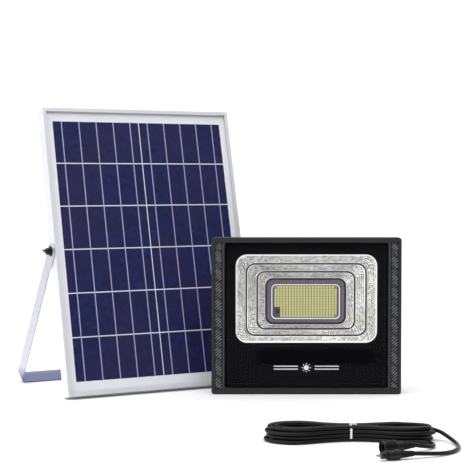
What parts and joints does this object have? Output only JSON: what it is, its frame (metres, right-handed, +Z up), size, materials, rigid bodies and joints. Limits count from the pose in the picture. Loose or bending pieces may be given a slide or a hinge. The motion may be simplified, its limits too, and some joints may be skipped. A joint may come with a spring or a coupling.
{
  "type": "solar flood light",
  "caption": "Framed polycrystalline solar panel on a hinged U stand, a rectangular LED flood light with stepped reflector and a tied extension cable with screw connectors.",
  "frame": {"origin": "middle of the flood light's bottom face", "axes": "+Z up, the light faces -Y, +X to the right seen from in front"},
  "size_m": [0.6828, 0.838, 0.4768],
  "materials": {
    "anodised_rail": "satin anodised",
    "galvanised_steel": "zinc plated",
    "panel_glass": "clear tempered",
    "silicon": "blue polycrystalline",
    "tinned_copper": "tinned",
    "white_backsheet": "matt white film",
    "black_plastic": "fine texture",
    "dark_zinc": "black zinc",
    "charcoal_bezel": "charcoal powder coat",
    "housing_paint": "charcoal powder coat",
    "window_glass": "clear tempered",
    "black_print": "black ceramic print",
    "rubber_seal": "matt",
    "reflector_chrome": "vacuum metallised",
    "board_white": "white solder mask",
    "led_phosphor": "yellow phosphor",
    "sensor_dark": "dark infrared",
    "cell_wrap": "shrink wrap",
    "board_green": "green solder mask",
    "component_black": "moulded",
    "cable_rubber": "satin black",
    "white_tie": "coated wire tie",
    "contact_brass": "bright"
  },
  "bodies": {
    "solar_panel": {"panel_bottom_rail": "anodised_rail", "panel_right_rail": "anodised_rail", "panel_top_rail": "anodised_rail", "panel_left_rail": "anodised_rail", "panel_corner_keys": "galvanised_steel", "panel_glass": "panel_glass", "cell_ribbons": "tinned_copper", "solar_cells": "silicon", "panel_backsheet": "white_backsheet", "junction_box": "black_plastic", "junction_box_lid": "black_plastic", "junction_box_screws": "galvanised_steel", "junction_terminals": "contact_brass", "bypass_diode": "component_black", "junction_gland": "black_plastic", "junction_gland_nut": "black_plastic", "stand_bolts": "dark_zinc", "stand_washers": "dark_zinc"},
    "panel_stand": {"panel_stand": "galvanised_steel"},
    "left_wing_nut": {"left_wing_nut": "dark_zinc"},
    "right_wing_nut": {"right_wing_nut": "dark_zinc"},
    "flood_light": {"front_frame": "charcoal_bezel", "reflector": "reflector_chrome", "rear_housing": "housing_paint", "front_glass": "window_glass", "glass_gasket": "rubber_seal", "glass_print": "black_print", "led_board": "board_white", "led_rim": "board_white", "led_chips": "led_phosphor", "remote_receiver": "sensor_dark", "housing_seal": "rubber_seal", "housing_screws": "dark_zinc", "battery_cells": "cell_wrap", "battery_holder": "black_plastic", "control_board": "board_green", "board_components": "component_black", "light_gland": "black_plastic", "light_gland_nut": "black_plastic", "button_ring": "black_plastic", "bracket_bolts": "dark_zinc", "bracket_nuts": "dark_zinc", "bracket_washers": "dark_zinc"},
    "light_bracket": {"light_bracket": "housing_paint"},
    "power_button": {"power_button": "rubber_seal"},
    "extension_cable": {"cable_hank": "cable_rubber", "hank_tie": "white_tie", "socket_tail": "cable_rubber", "plug_tail": "cable_rubber", "socket_boot": "cable_rubber", "socket_body": "black_plastic", "socket_contacts": "contact_brass", "plug_boot": "cable_rubber", "plug_body": "black_plastic", "plug_seal": "rubber_seal", "plug_pins": "contact_brass"},
    "coupling_nut": {"coupling_nut": "black_plastic"}
  },
  "joints": [
    {"name": "panel_stand_fold", "type": "hinge", "parent": "solar_panel", "child": "panel_stand", "pos_m": [-0.26617, 0.06908, 0.23821], "axis": [0.8763, 0.4818, 0], "range_deg": [-47, 120]},
    {"name": "left_wing_nut_turn", "type": "hinge", "parent": "solar_panel", "child": "left_wing_nut", "pos_m": [-0.42632, -0.01896, 0.23821], "axis": [0.8763, 0.4818, 0], "continuous": true},
    {"name": "right_wing_nut_turn", "type": "hinge", "parent": "solar_panel", "child": "right_wing_nut", "pos_m": [-0.10603, 0.15712, 0.23821], "axis": [0.8763, 0.4818, 0], "continuous": true},
    {"name": "light_lift", "type": "slide", "parent": "solar_panel", "child": "flood_light", "axis": [0, 0, 1], "range_m": [0, 0.3]},
    {"name": "light_bracket_tilt", "type": "hinge", "parent": "flood_light", "child": "light_bracket", "pos_m": [0, 0.062, 0.118], "axis": [1, 0, 0], "range_deg": [0, 170]},
    {"name": "power_button_press", "type": "slide", "parent": "flood_light", "child": "power_button", "axis": [0, -1, 0], "range_m": [0, 0.0015], "stiffness_N_per_m": 600, "springref_m": -0.001},
    {"name": "cable_lift", "type": "slide", "parent": "solar_panel", "child": "extension_cable", "axis": [0, 0, 1], "range_m": [0, 0.3]},
    {"name": "coupling_nut_turn", "type": "hinge", "parent": "extension_cable", "child": "coupling_nut", "pos_m": [0.08644, -0.48945, 0.0088], "axis": [-0.9261, -0.3773, 0], "continuous": true}
  ]
}
